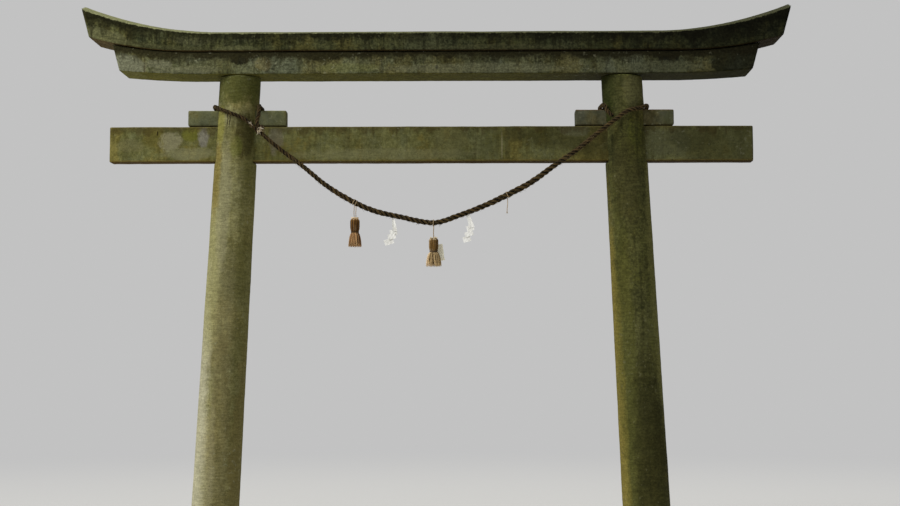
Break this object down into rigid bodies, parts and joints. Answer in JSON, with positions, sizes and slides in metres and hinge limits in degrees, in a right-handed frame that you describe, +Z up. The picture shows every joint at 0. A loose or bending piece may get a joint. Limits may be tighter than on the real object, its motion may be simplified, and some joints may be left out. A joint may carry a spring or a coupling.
{
  "type": "torii gate",
  "caption": "Stone torii gate with leaning round pillars, a tie beam held by wedges, a double lintel with upturned ends, and a sagging straw rope with tassels and streamers.",
  "frame": {"origin": "at ground level, under the middle of the lintels", "axes": "+X across the gate, to the right as seen from its front; +Y from the front to the back; +Z up"},
  "size_m": [4.9888, 0.4028, 4.0093],
  "materials": {
    "pillar_stone": "matte",
    "mossy_stone": "matte",
    "beam_stone": "matte",
    "wedge_stone": "matte",
    "lintel_stone": "matte",
    "dark_stone": "matte",
    "dark_straw": "matte",
    "pale_straw": "matte",
    "brown_straw": "matte",
    "olive_straw": "matte",
    "paper": "matte"
  },
  "bodies": {
    "root": {"left_pillar": "pillar_stone", "right_pillar": "mossy_stone", "tie_beam": "beam_stone", "left_outer_wedge": "wedge_stone", "left_inner_wedge": "wedge_stone", "right_inner_wedge": "wedge_stone", "right_outer_wedge": "wedge_stone", "lower_lintel": "lintel_stone", "upper_lintel": "dark_stone", "straw_rope": "dark_straw", "rope_knot": "pale_straw", "left_tassel_cord": "pale_straw", "left_tassel_head": "brown_straw", "left_tassel_binding": "dark_straw", "left_tassel_skirt": "brown_straw", "middle_tassel_cord": "pale_straw", "middle_tassel_head": "olive_straw", "middle_tassel_binding": "dark_straw", "middle_tassel_skirt": "olive_straw", "bare_tassel_cord": "pale_straw", "left_streamer": "paper", "middle_streamer": "paper", "right_streamer": "paper"}
  },
  "joints": []
}
